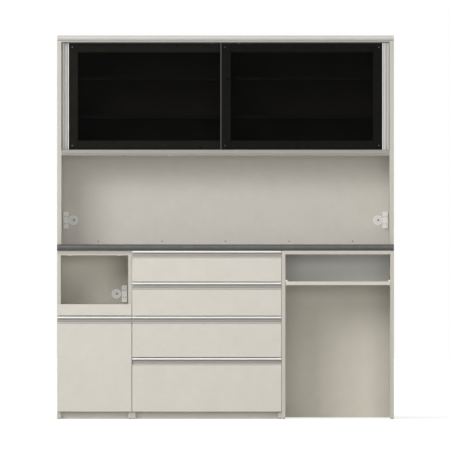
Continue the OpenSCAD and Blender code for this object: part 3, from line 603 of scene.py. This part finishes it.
def flat_piece(name, body, loops, y_front, y_back, material, ease=EASE):
    """A plate from an outer loop, further loops and their holes."""
    curve = bpy.data.curves.new(name, "CURVE")
    curve.dimensions = "2D"
    curve.fill_mode = "BOTH"
    curve.extrude = (y_back - y_front) / 2 - ease
    curve.bevel_depth = ease
    curve.bevel_resolution = 1
    curve.offset = -ease
    for loop in loops:
        spline = curve.splines.new("POLY")
        spline.points.add(len(loop) - 1)
        for point, (x, z) in zip(spline.points, loop):
            point.co = (x, z, 0.0, 1.0)
        spline.use_cyclic_u = True
    shape = bpy.data.objects.new(name, curve)
    scene.collection.objects.link(shape)
    graph = bpy.context.evaluated_depsgraph_get()
    mesh = bpy.data.meshes.new_from_object(shape.evaluated_get(graph))
    bpy.data.objects.remove(shape)
    bpy.data.curves.remove(curve)
    upright = Matrix.Rotation(math.pi / 2, 4, "X")
    mesh.transform(Matrix.Translation((0.0, (y_front + y_back) / 2, 0.0)) @ upright)
    mesh.name = name
    mesh.materials.clear()
    mesh.materials.append(material)
    piece = bpy.data.objects.new(name, mesh)
    scene.collection.objects.link(piece)
    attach(piece, body)


def rounded(mid_x, mid_z, width, height, radius, steps=5):
    """A rounded rectangle's loop."""
    loop = []
    for quarter, (side_x, side_z) in enumerate([(1, 1), (-1, 1), (-1, -1), (1, -1)]):
        for step in range(steps + 1):
            angle = (quarter + step / steps) * math.pi / 2
            loop.append((mid_x + side_x * (width / 2 - radius) + radius * math.cos(angle),
                         mid_z + side_z * (height / 2 - radius) + radius * math.sin(angle)))
    return loop


def arc(mid_x, mid_z, radius, turns):
    """Points on a circle at the given angles."""
    return [(mid_x + radius * math.cos(turn), mid_z + radius * math.sin(turn)) for turn in turns]


def sector(mid_x, mid_z, inner, outer, start, end, steps=6):
    """A sector's loop, between two radii and two angles."""
    turns = [start + (end - start) * step / steps for step in range(steps + 1)]
    return arc(mid_x, mid_z, outer, turns) + arc(mid_x, mid_z, inner, turns[::-1])


def circle(mid_x, mid_z, radius, steps=48):
    return arc(mid_x, mid_z, radius, [step * math.tau / steps for step in range(steps)])


def middle(node):
    """The X and Z of a node's middle."""
    low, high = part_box(node)
    return (low.x + high.x) / 2, (low.z + high.z) / 2


# Slit rubber seals inside the cord holes, behind their turning caps
BORE_R = 0.01874
SEAL_GAP = 0.0022
SEAL_T = 0.001
PETALS = 8
PETAL_T = 0.0008
PETAL_GAP = 0.0009
PETAL_MARGIN = 0.0016
PETAL_INNER_R = 0.0022
petal_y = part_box("left_grommet_cap")[1].y + SEAL_GAP
seal_y = petal_y + PETAL_T
for side in SIDES:
    mid_x, mid_z = middle(side + "_grommet_cap")
    flat_piece(side + "_cord_seal", "cupboard", [circle(mid_x, mid_z, BORE_R)],
               seal_y, seal_y + SEAL_T, rubber)
    turn = math.tau / PETALS
    slack = PETAL_GAP / BORE_R
    petals = [sector(mid_x, mid_z, PETAL_INNER_R, BORE_R - PETAL_MARGIN,
                     i * turn + slack, (i + 1) * turn - slack) for i in range(PETALS)]
    flat_piece(side + "_cord_petals", "cupboard", petals, petal_y, seal_y, rubber)

# Outlet rims, and dark plates inside the sockets' slots: painted shade for the dark inside of the
# slots
SOCKET_W = 0.028
TWIN_PITCH = 0.038
NICHE_SPACING = 0.043
RIM_W, RIM_H, RIM_R, RIM_T = 0.0215, 0.0225, 0.004, 0.0009
RIM_PROUD, RIM_SUNK = 0.0006, 0.0002
SLOT_W, SLOT_H, SLOT_R, SLOT_PITCH = 0.0021, 0.0078, 0.0003, 0.0127
SLOT_SHADE_FRONT, SLOT_SHADE_BACK, SLOT_SHADE_EASE = 0.0006, 0.005, 0.0001
outlets_low, outlets_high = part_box("socket_outlets")
face_y = outlets_low.y
outlet_x = {"left": outlets_low.x + SOCKET_W / 2, "right": outlets_high.x - SOCKET_W / 2,
            "niche": middle("niche_grommet_cap")[0] + NICHE_SPACING}
for side, mid_x in outlet_x.items():
    mid_z = middle(side + "_grommet_cap")[1]
    rims, slots = [], []
    for up in (-TWIN_PITCH / 2, TWIN_PITCH / 2):
        rims += [rounded(mid_x, mid_z + up, RIM_W, RIM_H, RIM_R),
                 rounded(mid_x, mid_z + up, RIM_W - 2 * RIM_T, RIM_H - 2 * RIM_T, RIM_R - RIM_T)]
        slots += [rounded(mid_x + over, mid_z + up, SLOT_W, SLOT_H, SLOT_R, steps=2)
                  for over in (-SLOT_PITCH / 2, SLOT_PITCH / 2)]
    flat_piece(side + "_outlet_rims", "cupboard", rims,
               face_y - RIM_PROUD, face_y + RIM_SUNK, white)
    flat_piece(side + "_outlet_slot_shade", "cupboard", slots,
               face_y + SLOT_SHADE_FRONT, face_y + SLOT_SHADE_BACK, rubber, SLOT_SHADE_EASE)

# Glazing beads round the panes
BEAD_W = 0.0014
BEAD_T = 0.0023
BEAD_R = 0.0004
BEAD_GAP = 0.0001
BEAD_EASE = 0.0003
PANE_REBATE = 0.008
for side, bead_black in (("left", black), ("right", black_in_painted_shade)):
    low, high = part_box(side + "_door_glass")
    mid_x, mid_z = middle(side + "_door_glass")
    loops = [rounded(mid_x, mid_z, high.x - low.x - 2 * inset, high.z - low.z - 2 * inset,
                     BEAD_R, steps=1) for inset in (PANE_REBATE, PANE_REBATE + BEAD_W)]
    flat_piece(side + "_glazing_bead", side + "_door", loops,
               low.y - BEAD_GAP - BEAD_T, low.y - BEAD_GAP, bead_black, BEAD_EASE)


# Ground and background: white to the camera, to mirrors and to glass

FLOOR_REACH = 40.0
FLOOR_GREY = (0.72, 0.72, 0.72)
GLOW_NEAR, GLOW_NEAR_R = 0.62, 1.1
GLOW_FAR, GLOW_FAR_R = 1.0, 3.0
AMBIENT = (1.0, 0.975, 0.92)
ROOM_TURN = (-0.9, -0.2)


def by_mirror_or_glass(n, path):
    """A mask for the rays that see the background in a mirror or through glass."""
    return n.math("MAXIMUM", path["Is Glossy Ray"], path["Is Transmission Ray"])


def ground():
    """A pale floor that keeps the object's shadow, and is white further away from it."""
    mesh = bpy.data.meshes.new("floor")
    corners = [(-1, -1), (1, -1), (1, 1), (-1, 1)]
    mesh.from_pydata([(x * FLOOR_REACH, y * FLOOR_REACH, 0) for x, y in corners], [],
                     [(0, 1, 2, 3)])
    floor = bpy.data.objects.new("floor", mesh)
    scene.collection.objects.link(floor)
    material = bpy.data.materials.new("floor")
    material.use_nodes = True
    material.node_tree.nodes.clear()
    n = Nodes(material.node_tree)
    path = n.add("ShaderNodeLightPath").outputs
    seen = n.math("MAXIMUM", path["Is Camera Ray"], by_mirror_or_glass(n, path))
    away = n.add("ShaderNodeVectorMath", operation="LENGTH")
    n.put(away.inputs[0], n.add("ShaderNodeTexCoord").outputs["Object"])
    glow = n.add("ShaderNodeEmission")
    spread = n.remap(away.outputs["Value"], GLOW_NEAR, GLOW_FAR, GLOW_NEAR_R, GLOW_FAR_R)
    n.put(glow.inputs["Strength"], n.math("MULTIPLY", seen, spread))
    diffuse = n.add("ShaderNodeBsdfDiffuse")
    n.put(diffuse.inputs["Color"], rgba(FLOOR_GREY))
    both = n.add("ShaderNodeAddShader")
    n.put(both.inputs[0], diffuse.outputs[0])
    n.put(both.inputs[1], glow.outputs[0])
    n.put(n.add("ShaderNodeOutputMaterial").inputs["Surface"], both.outputs[0])
    mesh.materials.append(material)


def sky(level, front_level):
    """White where it is seen, a soft even light elsewhere, and a dim room on the camera's
    side for reflections."""
    world = bpy.data.worlds.new("studio")
    scene.world = world
    world.use_nodes = True
    world.node_tree.nodes.clear()
    n = Nodes(world.node_tree)

    def light(colour, strength):
        node = n.add("ShaderNodeBackground")
        n.put(node.inputs["Color"], rgba(colour))
        n.put(node.inputs["Strength"], strength)
        return node.outputs[0]

    def either(share, first, second):
        node = n.add("ShaderNodeMixShader")
        for socket, value in zip(node.inputs, (share, first, second)):
            n.put(socket, value)
        return node.outputs[0]

    path = n.add("ShaderNodeLightPath").outputs
    towards = n.part(n.add("ShaderNodeTexCoord").outputs["Generated"], Y)
    room = light(WHITE, n.remap(towards, front_level, 1.0, *ROOM_TURN))
    lit = either(by_mirror_or_glass(n, path), light(AMBIENT, level), room)
    shown = either(path["Is Camera Ray"], lit, light(WHITE, 1.0))
    n.put(n.add("ShaderNodeOutputWorld").inputs["Surface"], shown)


def panel_light(name, place, aim, width, height, power, colour, mirrored=True):
    data = bpy.data.lights.new(name, "AREA")
    data.shape = "RECTANGLE"
    data.size = width
    data.size_y = height
    data.energy = power
    data.color = colour
    lamp = bpy.data.objects.new(name, data)
    lamp.location = place
    lamp.rotation_euler = (Vector(aim) - Vector(place)).to_track_quat("-Z", "Y").to_euler()
    lamp.visible_camera = False
    lamp.visible_glossy = mirrored
    scene.collection.objects.link(lamp)


ground()
sky(level=0.38, front_level=0.08)
panel_light("key", place=(-4.4, -8.2, 4.0), aim=(0.0, 0.0, 0.9), width=4.1, height=3.0,
            power=360.0, colour=(1.0, 0.995, 0.985))
panel_light("soft", place=(0.9, -8.0, 7.0), aim=(0.0, 0.0, 0.7), width=7.0, height=4.0,
            power=70.0, colour=(1.0, 0.99, 0.98))
panel_light("front", place=(0.6, -10.9, 1.5), aim=(0.0, 0.0, 0.9), width=5.0, height=1.8,
            power=240.0, colour=(1.0, 0.995, 0.985), mirrored=False)
